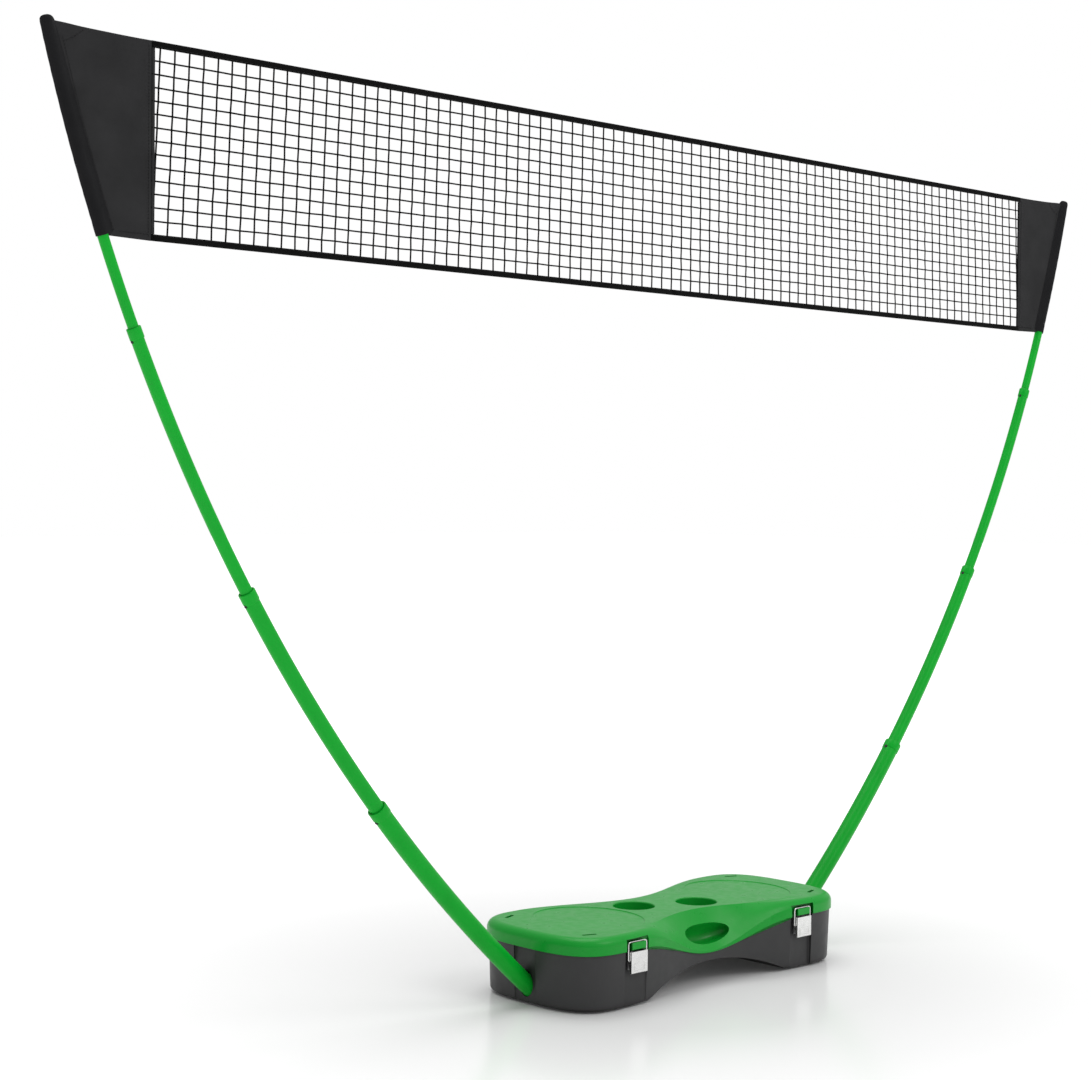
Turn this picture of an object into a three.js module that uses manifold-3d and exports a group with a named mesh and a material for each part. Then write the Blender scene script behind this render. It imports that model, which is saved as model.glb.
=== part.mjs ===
// Portable badminton net: two bowed telescopic poles stand in the ends of a peanut-shaped carry case,
// and a short net is stretched between their tips. Millimetres, +Z up; X runs along the net, -Y is the
// latch side of the case, and the origin is on the floor below the middle of the case.
import * as THREE from "three";
import { mergeVertices, toCreasedNormals } from "three/addons/utils/BufferGeometryUtils.js";
import Module from "manifold-3d";

const wasm = await Module();
wasm.setup();

// ---------------------------------------------------------------- driving dimensions

const GAP = 0.3; // clearance between pieces that touch
const LATCH_SIDE = -1; // sign of Y on the side with the handle and the latches

// The case outline: two superellipse lobes joined by a cosine waist.
const CASE = {
  lobeX: 252,
  lobeLength: 108,
  halfWidth: 147.5,
  roundness: 3.1,
  rearWaist: 88,
  frontWaist: 118,
  wall: 3,
  height: 131,
  partingZ: 100.5,
  partingDip: 41.5,
  dipHalfLength: 205,
  lidOverhang: 3,
  lidEdgeRadius: 16,
  draft: 3,
  floorZ: 3,
  bottomRadius: 7,
  endSteps: 6,
  waistSteps: 14,
};
const SCOOP = { halfLength: 188, lipZ: 63, crestWaist: 70 };
const VAULT = { radius: 450, height: 45 };
const GRIP = { y: -100, z: 91, halfWidth: 60, halfHeight: 20, depth: 30 };
const CUP = { x: 59, y: 24, radius: 38.5, wall: 2.5, floorZ: 83 };
const BADGE = { x: 201, halfLength: 94, halfWidth: 108, depth: 1.2 };
const SLOT = { x: 299, y: 102, length: 27, width: 7, turn: Math.PI / 9 };
const FOOT = { x: 280, y: 80, radius: 12, height: 2.7 };
const HINGE = { x: 245, y: 151, z: 102, radius: 5, pin: 2, lidKnuckle: 20, trayKnuckle: 12 };
const LATCH = { x: 223, halfWidth: 29, trayY: -137, lidY: -139, lidTopZ: 122 };
// All latch pieces are drawn around x = 0 and moved to their side of the case.
const LEVER = { y: -145, z: 96, halfWidth: 20, top: 99.5, bottom: 60.5, outerY: -150, thickness: 1.2 };
const BAIL = { wire: 1.3, halfWidth: 22.3, topZ: 116.1, pivotY: -144.5, pivotZ: 84, bend: 4 };
const RIVET = { x: 9, z: 75, head: 3.4, shank: 1.6, hole: 1.9 };
const CHANNEL = { x: 352, halfWidth: 27 };

// Each pole bends along one circle; angles are measured below the horizontal at the circle's centre.
const BOW = { x: 1600, z: 2304, radius: 2992, step: 1.5 };
const POLE = [
  { from: 49.7, to: 40.1, outer: 16, inner: 14 },
  { from: 41.1, to: 31.6, outer: 13, inner: 11 },
  { from: 32.6, to: 23.1, outer: 10.25, inner: 8.85 },
  { from: 24.1, to: 14.6, outer: 8.25, inner: 6.85 },
];
const COLLAR = { angle: 0.35, thickness: 1 };
const BUTTON = { angle: 0.37, proud: 1.5 };
const SOCKET = { bore: 16.6, end: 49.72, x0: -348.6, x1: -316, halfWidth: 23, z0: 6.3, z1: 86 };

const NET = {
  halfLength: 1122.7,
  topZ: 1554,
  bottomZ: 1259.3,
  tape: 10,
  tapeThickness: 4.4,
  tapeWall: 0.8,
  columns: 88,
  rows: 14,
  string: 1.1,
};
const PANEL = { thickness: 1.6, tunnel: 10.2, bore: 8.95, tipX: -1309, tipZ: 1564, hem: 20.4, top: 14.4 };

const COLOUR = { green: 0x18a532, lid: 0x1fa63a, grey: 0x434344, black: 0x2b2b2b, string: 0x0b0b0b };

// ---------------------------------------------------------------- materials

const plastic = (color) => new THREE.MeshStandardMaterial({ color, roughness: 0.5, metalness: 0 });
const metal = (color, roughness) => new THREE.MeshStandardMaterial({ color, roughness, metalness: 1 });
const cloth = (color) => new THREE.MeshStandardMaterial({ color, roughness: 0.95, metalness: 0 });

const LID_GREEN = plastic(COLOUR.lid);
const TRAY_GREY = plastic(COLOUR.grey);
const SOCKET_BLACK = plastic(0x1a1a1b);
const RUBBER = new THREE.MeshStandardMaterial({ color: 0x161616, roughness: 0.9, metalness: 0 });
const POLE_GREEN = new THREE.MeshStandardMaterial({ color: COLOUR.green, roughness: 0.35, metalness: 0.1 });
const NICKEL = metal(0xd9dad8, 0.25);
const STEEL = metal(0xa9abad, 0.4);
const FABRIC = cloth(COLOUR.black);
const CORD = cloth(COLOUR.string);

// ---------------------------------------------------------------- solids and meshes

const rad = THREE.MathUtils.degToRad;
const lerp = THREE.MathUtils.lerp;

// A closed geometry as a manifold-3d solid.
function solid(geometry) {
  const bare = geometry.index ? geometry.toNonIndexed() : geometry.clone();
  Object.keys(bare.attributes)
    .filter((name) => name !== "position")
    .forEach((name) => bare.deleteAttribute(name));
  const merged = mergeVertices(bare, 1e-3);
  const vertProperties = merged.attributes.position.array;
  const triVerts = new Uint32Array(merged.index.array);
  return new wasm.Manifold(new wasm.Mesh({ numProp: 3, vertProperties, triVerts }));
}

// A manifold-3d solid as a geometry with creased normals.
function geometryOf(body) {
  const { vertProperties, triVerts, numProp, numVert } = body.getMesh();
  const positions = new Float32Array(numVert * 3);
  for (let i = 0; i < numVert; i++) {
    positions.set(vertProperties.subarray(i * numProp, i * numProp + 3), i * 3);
  }
  const geometry = new THREE.BufferGeometry();
  geometry.setAttribute("position", new THREE.BufferAttribute(positions, 3));
  geometry.setIndex(new THREE.BufferAttribute(triVerts, 1));
  return toCreasedNormals(geometry, rad(35));
}

const join = (first, ...others) => others.reduce((sum, other) => sum.add(other), first);
const cut = (first, ...others) => others.reduce((rest, other) => rest.subtract(other), first);

function mesh(name, shape, material) {
  const geometry = shape.isBufferGeometry ? shape : geometryOf(shape);
  const made = new THREE.Mesh(geometry, material);
  made.name = name;
  return made;
}

function group(...children) {
  const made = new THREE.Group();
  children.forEach((child) => made.add(child));
  return made;
}

// A box between two opposite corners.
function box(x0, x1, y0, y1, z0, z1) {
  const geometry = new THREE.BoxGeometry(x1 - x0, y1 - y0, z1 - z0);
  return geometry.translate((x0 + x1) / 2, (y0 + y1) / 2, (z0 + z1) / 2);
}

// A cylinder along Z from z0 to z1.
function post(radius, z0, z1, sides = 24) {
  const geometry = new THREE.CylinderGeometry(radius, radius, z1 - z0, sides).rotateX(Math.PI / 2);
  return geometry.translate(0, 0, (z0 + z1) / 2);
}

// A cylinder along X from x0 to x1, on the line through (y, z).
function rod(radius, x0, x1, y, z, sides = 16) {
  const geometry = new THREE.CylinderGeometry(radius, radius, x1 - x0, sides).rotateZ(Math.PI / 2);
  return geometry.translate((x0 + x1) / 2, y, z);
}

// An outline of [x, z] points extruded along Y from y0 to y1.
function slabAlongY(points, y0, y1) {
  const shape = new THREE.Shape(points.map(([x, z]) => new THREE.Vector2(x, z)));
  const geometry = new THREE.ExtrudeGeometry(shape, { depth: y1 - y0, bevelEnabled: false });
  return geometry.rotateX(Math.PI / 2).translate(0, y1, 0);
}

// An outline of [y, z] points extruded along X from x0 to x1.
function slabAlongX(points, x0, x1) {
  const shape = new THREE.Shape(points.map(([y, z]) => new THREE.Vector2(y, z)));
  const geometry = new THREE.ExtrudeGeometry(shape, { depth: x1 - x0, bevelEnabled: false });
  return geometry.rotateX(Math.PI / 2).rotateZ(Math.PI / 2).translate(x0, 0, 0);
}

// A closed surface through rings of the same number of points, listed anticlockwise from the bottom up.
function ringLoft(rings) {
  const count = rings[0].length;
  const positions = rings.flat().flatMap((p) => [p.x, p.y, p.z]);
  const faces = [];
  for (let level = 0; level + 1 < rings.length; level++) {
    for (let i = 0; i < count; i++) {
      const a = level * count + i;
      const b = level * count + ((i + 1) % count);
      faces.push(a, b, b + count, a, b + count, a + count);
    }
  }
  const cap = (ring) => THREE.ShapeUtils.triangulateShape(ring.map((p) => new THREE.Vector2(p.x, p.y)), []);
  const top = (rings.length - 1) * count;
  cap(rings[0]).forEach(([a, b, c]) => faces.push(a, c, b));
  cap(rings.at(-1)).forEach(([a, b, c]) => faces.push(top + a, top + b, top + c));
  const geometry = new THREE.BufferGeometry();
  geometry.setAttribute("position", new THREE.Float32BufferAttribute(positions, 3));
  geometry.setIndex(faces);
  return geometry;
}

// ---------------------------------------------------------------- case outline

// The share of a cosine step reached at x, from 1 at the middle to 0 at the given half length.
const middleShare = (x, halfLength) =>
  Math.abs(x) < halfLength ? 0.5 + 0.5 * Math.cos((Math.PI * x) / halfLength) : 0;

// Half the outline as [x, half width] from the +X end to the -X end.
function outlineHalf(inset, waist) {
  const points = [];
  const length = CASE.lobeLength - inset;
  const width = CASE.halfWidth - inset;
  for (let i = 0; i <= CASE.endSteps; i++) {
    const angle = (i / CASE.endSteps) * (Math.PI / 2);
    const x = CASE.lobeX + length * Math.cos(angle) ** (2 / CASE.roundness);
    points.push([x, width * Math.sin(angle) ** (2 / CASE.roundness)]);
  }
  for (let i = 1; i < CASE.waistSteps / 2; i++) {
    const x = CASE.lobeX * (1 - (2 * i) / CASE.waistSteps);
    points.push([x, lerp(width, waist, middleShare(x, CASE.lobeX))]);
  }
  const mirrored = points.map(([x, y]) => [-x, y]).reverse();
  return [...points, [0, waist], ...mirrored];
}

// A ring of the outline, drawn in by inset; height(x, onFront) gives each point's z.
function caseRing(inset, rearWaist, frontWaist, height) {
  const rear = outlineHalf(inset, rearWaist).map(([x, y]) => new THREE.Vector3(x, y, height(x, false)));
  const front = outlineHalf(inset, frontWaist)
    .map(([x, y]) => new THREE.Vector3(x, LATCH_SIDE * y, height(x, true)))
    .reverse()
    .slice(1, -1);
  return [...rear, ...front];
}

const flatRing = (inset, z) =>
  caseRing(inset, CASE.rearWaist - inset, CASE.frontWaist - inset, () => z);

const partingHeight = (x) => CASE.partingZ - CASE.partingDip * middleShare(x, CASE.dipHalfLength);

// Everything above (or below) the parting surface, which dips on the latch side below the handle.
function partingHalf(above, shift) {
  const far = above ? 400 : -400;
  const profile = [];
  const steps = 16;
  for (let i = 0; i <= steps; i++) {
    const x = lerp(-CASE.dipHalfLength, CASE.dipHalfLength, i / steps);
    profile.push([x, partingHeight(x) + shift]);
  }
  const edge = CASE.partingZ + shift;
  const front = slabAlongY([[-500, edge], ...profile, [500, edge], [500, far], [-500, far]], -300, -50);
  const rear = box(-500, 500, -50, 300, Math.min(edge, far), Math.max(edge, far));
  return join(solid(front), solid(rear));
}

// ---------------------------------------------------------------- bow geometry

class BowArc extends THREE.Curve {
  constructor(from, to) {
    super();
    this.from = from;
    this.to = to;
  }
  getPoint(t, target = new THREE.Vector3()) {
    const angle = rad(lerp(this.from, this.to, t));
    return target.set(BOW.x - BOW.radius * Math.cos(angle), 0, BOW.z - BOW.radius * Math.sin(angle));
  }
}

// A rod, or a tube when an inner radius is given, that follows the bow between two angles.
function bowGeometry(from, to, outer, inner = 0) {
  const shape = new THREE.Shape().absarc(0, 0, outer, 0, Math.PI * 2);
  if (inner) shape.holes.push(new THREE.Path().absarc(0, 0, inner, 0, Math.PI * 2));
  const steps = Math.max(1, Math.ceil(Math.abs(to - from) / BOW.step));
  const extrudePath = new BowArc(from, to);
  return new THREE.ExtrudeGeometry(shape, { steps, curveSegments: 6, extrudePath });
}

const bowTube = (...sizes) => solid(bowGeometry(...sizes));

// Places what is drawn around the origin on the left bow: its +Z runs up the pole, +X to the bow's centre.
function placeOnBow(object, angle) {
  const turn = rad(angle);
  object.position.copy(new BowArc(angle, angle).getPoint(0));
  object.rotation.y = -turn;
  return object;
}

// ---------------------------------------------------------------- tray

function trayShell() {
  const base = CASE.lidOverhang;
  const foot = base + CASE.draft;
  const bottom = [0, 1, 2].map((i) => {
    const angle = (i / 2) * (Math.PI / 2);
    const inset = foot + CASE.bottomRadius * (1 - Math.sin(angle));
    return flatRing(inset, CASE.floorZ + CASE.bottomRadius * (1 - Math.cos(angle)));
  });
  const outer = solid(ringLoft([...bottom, flatRing(base, CASE.partingZ), flatRing(base, 120)]));
  const w = CASE.wall;
  const inside = [
    flatRing(foot + w + 6, CASE.floorZ + w),
    flatRing(foot + w, CASE.floorZ + w + 7),
    flatRing(base + w, CASE.partingZ),
    flatRing(base + w, 130),
  ];
  return { outer, inner: solid(ringLoft(inside)) };
}

// The arched tunnel under the middle of the case, as a solid of the given extra radius.
function vault(extra) {
  const radius = VAULT.radius + extra;
  const centreZ = VAULT.height - VAULT.radius;
  const half = Math.acos(-centreZ / radius);
  const points = [];
  for (let i = 0; i <= 10; i++) {
    const angle = Math.PI / 2 + half - (2 * half * i) / 10;
    points.push([radius * Math.cos(angle), centreZ + radius * Math.sin(angle)]);
  }
  return solid(slabAlongY([[points[0][0], -20], ...points, [points.at(-1)[0], -20]], -300, 300));
}

// The recesses of the two latches and the two pole channels, each grown by the given amount.
function trayRecesses(grow) {
  const recesses = [];
  for (const side of [-1, 1]) {
    const x = side * LATCH.x;
    const half = LATCH.halfWidth + grow;
    recesses.push(solid(box(x - half, x + half, -200, LATCH.trayY + grow, -5, 140)));
    const wallX = CHANNEL.x - grow;
    const width = CHANNEL.halfWidth + grow;
    recesses.push(solid(box(Math.min(side * wallX, side * 450), Math.max(side * wallX, side * 450),
      -width, width, -5, 140)));
  }
  return recesses;
}

// The oblique holes through which the poles enter the case.
function poleHoles() {
  const left = bowGeometry(47, POLE[0].from, POLE[0].outer + 1.4);
  return [left, left.clone().rotateZ(Math.PI)].map(solid);
}

// A barrel on the hinge line with a web down (or up) to the wall, between two X positions.
function knuckle(x0, x1, webZ0, webZ1) {
  const barrel = solid(rod(HINGE.radius, x0, x1, HINGE.y, HINGE.z, 20));
  return join(barrel, solid(box(x0, x1, CASE.halfWidth - 8, HINGE.y, webZ0, webZ1)));
}

const pinBore = (side) =>
  solid(rod(HINGE.pin + 0.25, side * HINGE.x - 40, side * HINGE.x + 40, HINGE.y, HINGE.z, 16));

function trayKnuckles(side) {
  const half = HINGE.lidKnuckle / 2 + GAP;
  const x = side * HINGE.x;
  const span = half + HINGE.trayKnuckle;
  const spans = [[x - span, x - half], [x + half, x + span]];
  return spans.map(([x0, x1]) => knuckle(x0, x1, HINGE.z - 12, CASE.partingZ));
}

// Room around the hinge barrels for the other half's knuckles.
const knuckleRoom = (side, half) =>
  solid(rod(HINGE.radius + 0.8, side * HINGE.x - half, side * HINGE.x + half, HINGE.y, HINGE.z, 24));

function tray() {
  const { outer, inner } = trayShell();
  const cavity = cut(inner, vault(CASE.wall), ...trayRecesses(CASE.wall));
  let body = cut(outer, cavity, vault(0), ...trayRecesses(0), partingHalf(true, 0));
  body = cut(body, ...poleHoles(), ...rivetHoles());
  body = cut(body, knuckleRoom(-1, HINGE.lidKnuckle / 2 + GAP), knuckleRoom(1, HINGE.lidKnuckle / 2 + GAP));
  for (const side of [-1, 1]) {
    body = cut(join(body, ...trayKnuckles(side)), pinBore(side));
  }
  return mesh("tray", body, TRAY_GREY);
}

// ---------------------------------------------------------------- lid

// The lid's surface at one level from its skirt (0) to its top (1), moved inwards by offset.
function lidRing(level, offset) {
  const angle = level * (Math.PI / 2);
  const radius = CASE.lidEdgeRadius - offset;
  const inset = offset + radius * (1 - Math.cos(angle));
  const edgeZ = CASE.height - CASE.lidEdgeRadius + radius * Math.sin(angle);
  const scoopZ = lerp(SCOOP.lipZ - 0.65 * offset, CASE.height - offset, level);
  const frontWaist = lerp(CASE.frontWaist - 0.77 * offset, SCOOP.crestWaist - 0.5 * offset, level);
  const height = (x, onFront) => lerp(edgeZ, scoopZ, onFront ? middleShare(x, SCOOP.halfLength) : 0);
  return caseRing(inset, CASE.rearWaist - inset, frontWaist, height);
}

function lidShell(offset) {
  const skirt = caseRing(offset, CASE.rearWaist - offset, CASE.frontWaist - 0.77 * offset, () => 30);
  const levels = [0, 1 / 3, 2 / 3, 1].map((level) => lidRing(level, offset));
  return solid(ringLoft([skirt, ...levels]));
}

// The hand hold: an ellipsoid whose depth runs square to the sloping face of the scoop.
function gripBowl(extra) {
  const geometry = new THREE.SphereGeometry(1, 18, 9);
  geometry.scale(GRIP.halfWidth + extra, GRIP.halfHeight + extra, GRIP.depth + extra);
  geometry.rotateX(Math.atan2(CASE.frontWaist - SCOOP.crestWaist, CASE.height - SCOOP.lipZ) + Math.PI / 8);
  return solid(geometry.translate(0, GRIP.y, GRIP.z));
}

function cupWells(radius, z0, z1) {
  const wells = [-1, 1].map((side) => post(radius, z0, z1, 28).translate(side * CUP.x, -side * CUP.y, 0));
  return wells.map(solid);
}

// The shallow oval fields on top of the lobes.
function badgeFields() {
  return [-1, 1].map((side) => {
    const oval = post(1, CASE.height - BADGE.depth, CASE.height + 5, 24);
    oval.scale(BADGE.halfLength, BADGE.halfWidth, 1);
    return solid(oval.translate(side * BADGE.x, 0, 0));
  });
}

function topSlots() {
  const slots = [];
  for (const sx of [-1, 1]) {
    for (const sy of [-1, 1]) {
      const slot = box(-SLOT.length / 2, SLOT.length / 2, -SLOT.width / 2, SLOT.width / 2, 100, 150);
      slot.rotateZ(-sx * sy * SLOT.turn);
      slots.push(solid(slot.translate(sx * SLOT.x, sy * SLOT.y, 0)));
    }
  }
  return slots;
}

function lidLatchRecesses(grow) {
  return [-1, 1].map((side) => {
    const x = side * LATCH.x;
    const half = LATCH.halfWidth + grow;
    return solid(box(x - half, x + half, -200, LATCH.lidY + grow, 20, LATCH.lidTopZ + grow));
  });
}

// The block that a latch's bail hooks over, with a low lip in front of the wire.
function catchBlock(side) {
  const back = LATCH.lidY + 0.5;
  const outline = [[back, 103], [-149, 103], [-149, 115.4], [-147.4, 115.4], [-147.4, 114.4], [back, 114.4]];
  return solid(slabAlongX(outline, side * LATCH.x - 17, side * LATCH.x + 17));
}

function lidKnuckle(side) {
  const half = HINGE.lidKnuckle / 2;
  const x = side * HINGE.x;
  return knuckle(x - half, x + half, HINGE.z, HINGE.z + 9);
}

function lid() {
  const outer = lidShell(0);
  const cavity = cut(lidShell(CASE.wall), ...lidLatchRecesses(CASE.wall));
  let body = cut(outer, cavity, ...lidLatchRecesses(0), partingHalf(false, GAP + 0.1));
  body = join(body, ...cupWells(CUP.radius + CUP.wall, CUP.floorZ - CUP.wall, CASE.height - 1));
  body = join(body, gripBowl(CASE.wall).intersect(outer));
  body = cut(body, ...cupWells(CUP.radius, CUP.floorZ, 200), gripBowl(0));
  body = cut(body, ...badgeFields(), ...topSlots());
  const room = HINGE.lidKnuckle / 2 + HINGE.trayKnuckle + 2 * GAP;
  for (const side of [-1, 1]) {
    body = cut(body, knuckleRoom(side, room));
    body = cut(join(body, lidKnuckle(side), catchBlock(side)), pinBore(side));
  }
  return mesh("lid", body, LID_GREEN);
}

// ---------------------------------------------------------------- latches

// A hole along Y for a rivet at the given x, through the latch plate and the tray's wall behind it.
function rivetHole(x) {
  const hole = post(RIVET.hole, -12, 12, 12).rotateX(Math.PI / 2);
  return solid(hole.translate(x, LATCH.trayY, RIVET.z));
}

const rivetHoles = () =>
  [-1, 1].flatMap((side) => [-1, 1].map((end) => rivetHole(side * LATCH.x + end * RIVET.x)));

function latchPlate() {
  const back = LATCH.trayY - GAP;
  const plate = solid(box(-17.7, 17.7, back - 1, back, 67, 100));
  const { y, z } = LEVER;
  const ear = [[back - 0.5, z - 5.5], [y - 1.5, z - 3.5], [y - 3, z], [y - 1.5, z + 3.5], [back - 0.5, z + 4]];
  const ears = [-1, 1].map((side) => slabAlongX(ear, side * 17.1 - 0.6, side * 17.1 + 0.6));
  const holes = [-1, 1].map((side) => rivetHole(side * RIVET.x));
  const bore = rod(1.75, -25, 25, LEVER.y, LEVER.z, 12);
  return cut(join(plate, ...ears.map(solid)), ...holes, solid(bore));
}

function latchLever() {
  const { halfWidth, top, bottom, outerY, thickness } = LEVER;
  const cheek = [
    [outerY, bottom + 2],
    [outerY + 2.5, bottom],
    [outerY + 4, bottom + 6],
    [LEVER.y + 3.2, 79.5],
    [LEVER.y + 3.2, top - 1.5],
    [LEVER.y + 1.5, top],
    [outerY, top],
  ];
  const block = solid(slabAlongX(cheek, -halfWidth, halfWidth));
  const hollow = box(-halfWidth + thickness, halfWidth - thickness, outerY + thickness, -120, 40, 100);
  const field = box(-13, 13, outerY - 0.5, outerY + 0.6, 65.5, 79.5);
  const rim = box(-11.6, 11.6, outerY - 2, outerY, 66.9, 78.1);
  const pinHole = rod(1.75, -25, 25, LEVER.y, LEVER.z, 12);
  const bailHole = rod(BAIL.wire + 0.7, -25, 25, BAIL.pivotY, BAIL.pivotZ, 12);
  const shell = cut(join(block, solid(field)), solid(rim), solid(hollow));
  return cut(shell, solid(pinHole), solid(bailHole));
}

// The wire loop: a hook into each cheek of the lever, two legs and the bar over the catch block.
function latchBail() {
  const { halfWidth: w, topZ, pivotY, pivotZ, bend } = BAIL;
  const corners = [[-17.6, pivotZ], [-w, pivotZ], [-w, topZ], [w, topZ], [w, pivotZ], [17.6, pivotZ]];
  const points = corners.map(([x, z]) => new THREE.Vector3(x, pivotY, z));
  const path = new THREE.CurvePath();
  let start = points[0];
  for (let i = 1; i + 1 < points.length; i++) {
    const radius = Math.min(bend, points[i].distanceTo(points[i - 1]) * 0.6);
    const before = points[i].clone().lerp(points[i - 1], radius / points[i].distanceTo(points[i - 1]));
    const after = points[i].clone().lerp(points[i + 1], radius / points[i].distanceTo(points[i + 1]));
    path.add(new THREE.LineCurve3(start, before));
    path.add(new THREE.QuadraticBezierCurve3(before, points[i], after));
    start = after;
  }
  path.add(new THREE.LineCurve3(start, points.at(-1)));
  const section = new THREE.Shape().absarc(0, 0, BAIL.wire, 0, Math.PI * 2);
  return new THREE.ExtrudeGeometry(section, { steps: 30, curveSegments: 3, extrudePath: path });
}

function latchRivet(side) {
  const head = post(RIVET.head, 0, 1.1, 12);
  const shank = post(RIVET.shank, -3.6, 0.2, 8);
  const rivet = join(solid(head), solid(shank));
  const made = mesh("", rivet, STEEL);
  made.rotation.x = Math.PI / 2;
  made.position.set(side * RIVET.x, LATCH.trayY - GAP - 1 - GAP, RIVET.z);
  return made;
}

function latch(label, side) {
  const plate = mesh(`latch_plate_${label}`, latchPlate(), STEEL);
  const lever = mesh(`latch_lever_${label}`, latchLever(), NICKEL);
  const bail = mesh(`latch_bail_${label}`, latchBail(), NICKEL);
  const pin = mesh(`latch_pin_${label}`, rod(1.5, -19.7, 19.7, LEVER.y, LEVER.z, 12), STEEL);
  const rivets = [-1, 1].map(latchRivet);
  rivets.forEach((rivet, i) => (rivet.name = `latch_rivet_${label}_${i + 1}`));
  const made = group(plate, lever, bail, pin, ...rivets);
  made.position.x = side * LATCH.x;
  return made;
}

// ---------------------------------------------------------------- hinge pins, feet and sockets

function hingePin(label, side) {
  const half = HINGE.lidKnuckle / 2 + HINGE.trayKnuckle + GAP;
  const x = side * HINGE.x;
  return mesh(`hinge_pin_${label}`, rod(HINGE.pin, x - half, x + half, HINGE.y, HINGE.z, 16), STEEL);
}

function foot(name, x, y) {
  const profile = [
    [0, 0],
    [FOOT.radius - 0.8, 0],
    [FOOT.radius, 0.8],
    [FOOT.radius, FOOT.height],
    [0, FOOT.height],
  ].map(([r, z]) => new THREE.Vector2(r, z));
  const made = mesh(name, new THREE.LatheGeometry(profile, 16).rotateX(Math.PI / 2), RUBBER);
  made.position.set(x, y, 0);
  return made;
}

function poleSocket() {
  const { x0, x1, halfWidth, z0, z1 } = SOCKET;
  const outline = [[x0, z0 + 9], [x0 + 7, z0], [x1 - 6, z0], [x1, z0 + 6], [x1, 48], [x1 - 32, z1], [x0, z1]];
  return cut(solid(slabAlongY(outline, -halfWidth, halfWidth)), bowTube(46.5, SOCKET.end, SOCKET.bore));
}

// ---------------------------------------------------------------- poles

// A radial hole through one wall of a tube, for a snap button.
function buttonHole(angle, radius, direction) {
  const hole = new THREE.CylinderGeometry(radius, radius, 30, 10).rotateZ(Math.PI / 2);
  hole.translate(direction * 15, 0, 0);
  const placed = placeOnBow(new THREE.Object3D(), angle);
  placed.updateMatrix();
  return solid(hole.applyMatrix4(placed.matrix));
}

// Sizes of the snap button that locks section i + 1 in section i.
function buttonSizes(i) {
  const inner = POLE[i + 1];
  const radius = 1.2 + 0.18 * inner.inner;
  const flange = radius + 1.2;
  const seat = Math.sqrt((0.98 * inner.inner) ** 2 - flange ** 2) - 0.4;
  return { radius, flange, seat, tip: POLE[i].outer + BUTTON.proud, angle: POLE[i].to + BUTTON.angle };
}

function poleSection(i, direction) {
  const { from, to, outer, inner } = POLE[i];
  let body = bowTube(from, to, outer, inner);
  if (i < POLE.length - 1) {
    const collar = bowTube(to + COLLAR.angle, to, outer + COLLAR.thickness, outer - 0.5);
    const { angle, radius } = buttonSizes(i);
    body = cut(join(body, collar), buttonHole(angle, radius + 0.4, direction));
  }
  if (i > 0) {
    const { angle, radius } = buttonSizes(i - 1);
    body = cut(body, buttonHole(angle, radius + 0.4, direction));
  }
  return body;
}

// A stepped button whose axis is the local X axis.
function snapButton(i, direction) {
  const { radius, flange, seat, tip } = buttonSizes(i);
  const profile = [
    [0, seat - 1],
    [flange, seat - 1],
    [flange, seat],
    [radius, seat],
    [radius, tip - 0.8],
    [radius - 0.8, tip],
    [0, tip],
  ].map(([r, h]) => new THREE.Vector2(r, h));
  return new THREE.LatheGeometry(profile, 12).rotateZ((-direction * Math.PI) / 2);
}

// A leaf spring folded into a U inside the tube: one leg under the button, the other on the far wall.
function buttonSpring(i, direction) {
  const { seat } = buttonSizes(i);
  const near = seat - 1 - GAP;
  const far = 0.88 * POLE[i + 1].inner;
  const leaf = 0.6;
  const bend = (near + far) / 2;
  const middle = (near - far) / 2;
  const outer = new THREE.Shape();
  outer.moveTo(near, 4);
  outer.lineTo(near - leaf, 4);
  outer.lineTo(near - leaf, -14);
  outer.absarc(middle, -14, bend - leaf, 0, Math.PI, true);
  outer.lineTo(-far + leaf, 0);
  outer.lineTo(-far, 0);
  outer.lineTo(-far, -14);
  outer.absarc(middle, -14, bend, Math.PI, Math.PI * 2, false);
  outer.lineTo(near, 4);
  const geometry = new THREE.ExtrudeGeometry(outer, { depth: 4, bevelEnabled: false, curveSegments: 3 });
  geometry.translate(0, 0, -2).rotateX(Math.PI / 2);
  return direction < 0 ? geometry.rotateZ(Math.PI) : geometry;
}

function tipCap() {
  const { outer, inner } = POLE.at(-1);
  const profile = [
    [0, -10],
    [inner - GAP - 0.2, -10],
    [inner - GAP - 0.2, GAP],
    [outer, GAP],
    [outer - 0.6, 3],
    [outer - 3, 5],
    [0, 5.8],
  ].map(([r, h]) => new THREE.Vector2(r, h));
  return new THREE.LatheGeometry(profile, 16).rotateX(Math.PI / 2);
}

function pole(label, side) {
  const direction = side; // the buttons of both poles face -X
  const made = group();
  POLE.forEach((section, i) => {
    made.add(mesh(`pole_${label}_${i + 1}`, poleSection(i, direction), POLE_GREEN));
  });
  for (let i = 0; i + 1 < POLE.length; i++) {
    const { angle } = buttonSizes(i);
    const button = mesh(`snap_button_${label}_${i + 1}`, snapButton(i, direction), RUBBER);
    const spring = mesh(`button_spring_${label}_${i + 1}`, buttonSpring(i, direction), STEEL);
    made.add(placeOnBow(button, angle), placeOnBow(spring, angle));
  }
  made.add(placeOnBow(mesh(`pole_tip_cap_${label}`, tipCap(), SOCKET_BLACK), POLE.at(-1).to));
  const plug = bowTube(POLE[0].from - 0.02, POLE[0].from - 0.35, POLE[0].inner - 0.6);
  made.add(mesh(`pole_foot_plug_${label}`, plug, SOCKET_BLACK));
  made.add(mesh(`pole_socket_${label}`, poleSocket(), SOCKET_BLACK));
  made.add(mesh(`net_end_panel_${label}`, endPanel(), FABRIC));
  if (side > 0) made.rotation.z = Math.PI;
  return made;
}

// ---------------------------------------------------------------- net

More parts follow.
